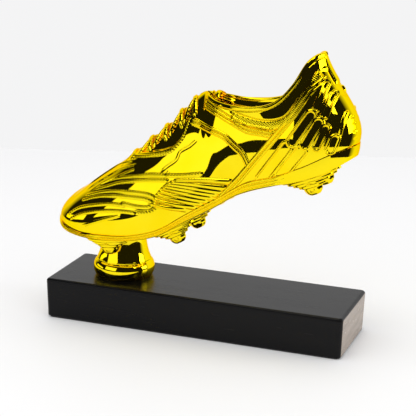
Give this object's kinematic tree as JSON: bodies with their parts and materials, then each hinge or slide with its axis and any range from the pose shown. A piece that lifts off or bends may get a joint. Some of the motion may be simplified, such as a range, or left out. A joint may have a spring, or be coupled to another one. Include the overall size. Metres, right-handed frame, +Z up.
{
  "type": "figure trophy",
  "caption": "Award trophy: a gold-plated football boot figure standing toe-down on a turned riser, clamped to a long low black plinth.",
  "frame": {"origin": "centre of the plinth's underside, on the surface it stands on", "axes": "+X along the plinth towards the boot's heel, +Y across it towards the boot's right side, +Z up"},
  "size_m": [0.2029, 0.0679, 0.184],
  "materials": {
    "black_lacquer": "satin",
    "foam_pad": "matte",
    "gold_plating": "polished",
    "zinc_steel": "satin",
    "unplated_plastic": "matte"
  },
  "bodies": {
    "root": {"base_block": "black_lacquer", "base_pad": "foam_pad", "riser": "gold_plating", "sole_plate": "gold_plating", "upper_left": "gold_plating", "upper_right": "gold_plating", "tongue": "gold_plating", "heel_cage": "gold_plating", "heel_tab": "gold_plating", "lace_1": "gold_plating", "lace_2": "gold_plating", "lace_3": "gold_plating", "lace_4": "gold_plating", "lace_5": "gold_plating", "stud_front_left": "gold_plating", "stud_front_right": "gold_plating", "stud_middle_left": "gold_plating", "stud_middle_right": "gold_plating", "stud_heel_left": "gold_plating", "stud_heel_right": "gold_plating", "clamp_bolt": "zinc_steel", "spring_washer": "zinc_steel", "flat_washer": "zinc_steel", "captive_nut": "zinc_steel", "mount_boss": "unplated_plastic", "insole": "gold_plating"}
  },
  "joints": []
}
